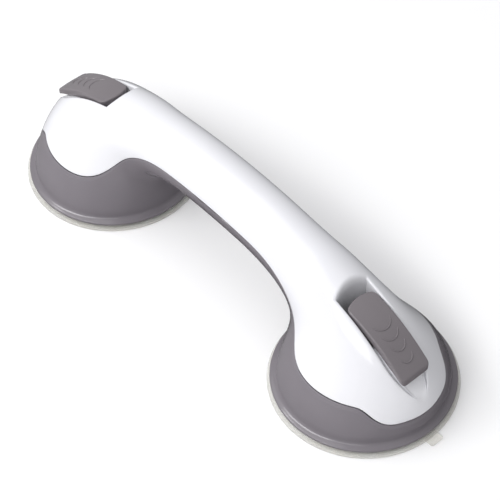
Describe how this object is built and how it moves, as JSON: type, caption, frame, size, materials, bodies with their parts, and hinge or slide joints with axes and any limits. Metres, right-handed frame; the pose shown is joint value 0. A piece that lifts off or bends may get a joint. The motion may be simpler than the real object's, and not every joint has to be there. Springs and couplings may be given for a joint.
{
  "type": "suction grab bar",
  "caption": "Arched grab bar with a two-tone moulded grip and a cam-lever suction cup at each end, for tiled or glass walls; both levers are shown locked.",
  "frame": {"origin": "bottom centre of the whole bar: midway between the cups, on the plane of the suction faces", "axes": "+X along the bar, +Z from the wall out to the grip, Y across the grip"},
  "size_m": [0.307, 0.0986, 0.0775],
  "materials": {
    "shell_white": "gloss moulded ABS, cool white",
    "shell_grey": "gloss moulded ABS, warm grey",
    "lever_grey": "satin moulded ABS, warm grey",
    "pad_clear": "translucent soft PVC",
    "nylon": "natural nylon",
    "zinc_steel": "zinc plated steel",
    "spring_steel": "drawn spring wire"
  },
  "bodies": {
    "handle": {"upper_shell": "shell_white", "lower_shell": "shell_grey", "near_suction_pad": "pad_clear", "near_return_spring": "spring_steel", "near_cam_plate": "zinc_steel", "near_housing_screw_1": "zinc_steel", "near_housing_screw_2": "zinc_steel", "near_housing_screw_3": "zinc_steel", "near_housing_screw_4": "zinc_steel", "near_grip_screw": "zinc_steel", "far_suction_pad": "pad_clear", "far_return_spring": "spring_steel", "far_cam_plate": "zinc_steel", "far_housing_screw_1": "zinc_steel", "far_housing_screw_2": "zinc_steel", "far_housing_screw_3": "zinc_steel", "far_housing_screw_4": "zinc_steel", "far_grip_screw": "zinc_steel"},
    "near_stem": {"near_plunger": "nylon", "near_pivot_pin": "zinc_steel"},
    "near_lever": {"near_lever": "lever_grey"},
    "far_stem": {"far_plunger": "nylon", "far_pivot_pin": "zinc_steel"},
    "far_lever": {"far_lever": "lever_grey"}
  },
  "joints": [
    {"name": "near_stem_slide", "type": "slide", "parent": "handle", "child": "near_stem", "axis": [0, 0, 1], "range_m": [-0.004, 0], "deforming": ["near_suction_pad", "near_return_spring"]},
    {"name": "near_lever_hinge", "type": "hinge", "parent": "near_stem", "child": "near_lever", "pos_m": [0.1, 0, 0.05], "axis": [0, -1, 0], "range_deg": [0, 90]},
    {"name": "far_stem_slide", "type": "slide", "parent": "handle", "child": "far_stem", "axis": [0, 0, 1], "range_m": [-0.004, 0], "deforming": ["far_suction_pad", "far_return_spring"]},
    {"name": "far_lever_hinge", "type": "hinge", "parent": "far_stem", "child": "far_lever", "pos_m": [-0.1, 0, 0.05], "axis": [0, 1, 0], "range_deg": [0, 90]}
  ],
  "couplings": [
    {"joint": "near_stem_slide", "follows": "near_lever_hinge", "m_per_rad": -0.002546},
    {"joint": "far_stem_slide", "follows": "far_lever_hinge", "m_per_rad": -0.002546}
  ]
}
